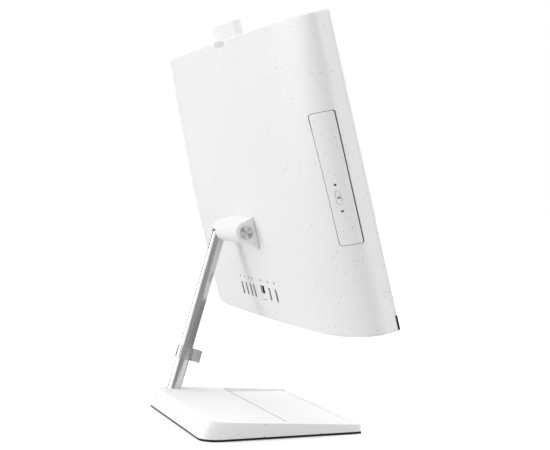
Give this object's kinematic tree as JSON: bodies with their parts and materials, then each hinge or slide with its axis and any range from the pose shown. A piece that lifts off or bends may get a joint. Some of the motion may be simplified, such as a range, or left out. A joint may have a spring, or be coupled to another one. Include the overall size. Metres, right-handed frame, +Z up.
{
  "type": "all-in-one computer",
  "caption": "All-in-one computer: slim tapered display body on a leaning tube and wedge base, with pop-up camera, side disc drive and rear ports.",
  "frame": {"origin": "on the table, below the middle of the whole machine's width and depth", "axes": "+X to the user's right, +Y towards the back, +Z up; the screen faces -Y and leans back 13.6 degrees"},
  "size_m": [0.541, 0.1752, 0.4338],
  "materials": {
    "shell_white": "fine matt moulded plastic with sparse grey flecks",
    "speaker_black": "black woven speaker cloth over a moulded bar",
    "screen_glass": "dark screen with an anti-glare front",
    "panel_grey": "grey moulded light guide and film stack",
    "sheet_steel": "galvanised sheet steel",
    "tube_metal": "satin chrome",
    "cap_metal": "spun aluminium disc",
    "rubber": "matt black rubber",
    "clip_frosted": "frosted translucent plastic",
    "board_green": "solder-masked circuit board",
    "port_metal": "nickel-plated sheet",
    "port_black": "black moulded plastic",
    "mark_grey": "grey printed mark",
    "fin_metal": "mill-finish aluminium",
    "dark_glass": "smoked window",
    "screw_steel": "zinc-plated steel",
    "inner_black": "black moulded plastic"
  },
  "bodies": {
    "stand": {"base_cover": "shell_white", "base_pan": "sheet_steel", "base_weight": "sheet_steel", "rubber_rim": "rubber", "pan_screws": "screw_steel", "stand_tube": "tube_metal", "stand_knuckle": "sheet_steel", "hinge_axle": "screw_steel"},
    "clip": {"cable_clip": "clip_frosted"},
    "display": {"back_cover": "shell_white", "front_frame": "shell_white", "screen_glass": "screen_glass", "backlight_unit": "panel_grey", "mid_frame": "sheet_steel", "speaker_bar": "speaker_black", "speaker_left": "inner_black", "speaker_right": "inner_black", "hinge_cover": "shell_white", "hinge_bracket": "sheet_steel", "hinge_cap": "cap_metal", "camera_guide": "inner_black", "drive_case": "sheet_steel", "lan_jack": "port_black", "hdmi_port": "port_metal", "power_inlet": "port_metal", "mainboard": "board_green", "board_standoffs": "screw_steel", "heat_sink": "fin_metal", "fan_housing": "inner_black", "memory_module": "board_green", "ssd_card": "board_green", "hard_drive": "fin_metal", "port_marks": "mark_grey", "cover_screws": "screw_steel", "usb_port_1": "port_metal", "usb_port_2": "port_metal", "usb_port_3": "port_metal", "usb_port_4": "port_metal"},
    "camera": {"camera_body": "shell_white", "camera_window": "dark_glass", "camera_lens": "dark_glass"},
    "drive_tray": {"drive_tray": "inner_black", "drive_bezel": "shell_white", "drive_light": "mark_grey"},
    "eject_button": {"eject_button": "shell_white"},
    "disc_spindle": {"disc_spindle": "port_metal"},
    "laser_sled": {"laser_sled": "inner_black"},
    "lan_door": {"lan_door": "shell_white"},
    "fan_rotor": {"fan_rotor": "inner_black"},
    "power_button": {"power_button": "mark_grey"}
  },
  "joints": [
    {"name": "display_tilt", "type": "hinge", "parent": "stand", "child": "display", "pos_m": [0, -0.00081, 0.20041], "axis": [-1, 0, 0], "range_deg": [-18.6, 6.4]},
    {"name": "camera_slide", "type": "slide", "parent": "display", "child": "camera", "axis": [0, 0.2351, 0.972], "range_m": [-0.0185, 0]},
    {"name": "disc_tray_slide", "type": "slide", "parent": "display", "child": "drive_tray", "axis": [-1, 0, 0], "range_m": [0, 0.13]},
    {"name": "eject_press", "type": "slide", "parent": "drive_tray", "child": "eject_button", "axis": [1, 0, 0], "range_m": [0, 0.0008], "stiffness_N_per_m": 800, "springref_m": -0.0004},
    {"name": "disc_spin", "type": "hinge", "parent": "drive_tray", "child": "disc_spindle", "pos_m": [-0.184, -0.02757, 0.25987], "axis": [0, 0.972, -0.2351], "continuous": true},
    {"name": "laser_sled_slide", "type": "slide", "parent": "drive_tray", "child": "laser_sled", "axis": [0, 0.2351, 0.972], "range_m": [0, 0.013]},
    {"name": "lan_jaw_hinge", "type": "hinge", "parent": "display", "child": "lan_door", "pos_m": [-0.02, -0.03079, 0.12535], "axis": [-1, 0, 0], "range_deg": [0, 28], "stiffness_Nm_per_rad": 0.002, "springref_deg": -2.86},
    {"name": "fan_spin", "type": "hinge", "parent": "display", "child": "fan_rotor", "pos_m": [0.16, -0.04403, 0.17485], "axis": [0, 0.972, -0.2351], "continuous": true},
    {"name": "power_press", "type": "slide", "parent": "display", "child": "power_button", "axis": [0, 0.2351, 0.972], "range_m": [0, 0.0008], "stiffness_N_per_m": 800, "springref_m": -0.0004},
    {"name": "cable_clip_slide", "type": "slide", "parent": "stand", "child": "clip", "axis": [0, -0.2907, 0.9568], "range_m": [-0.025, 0.09]}
  ]
}
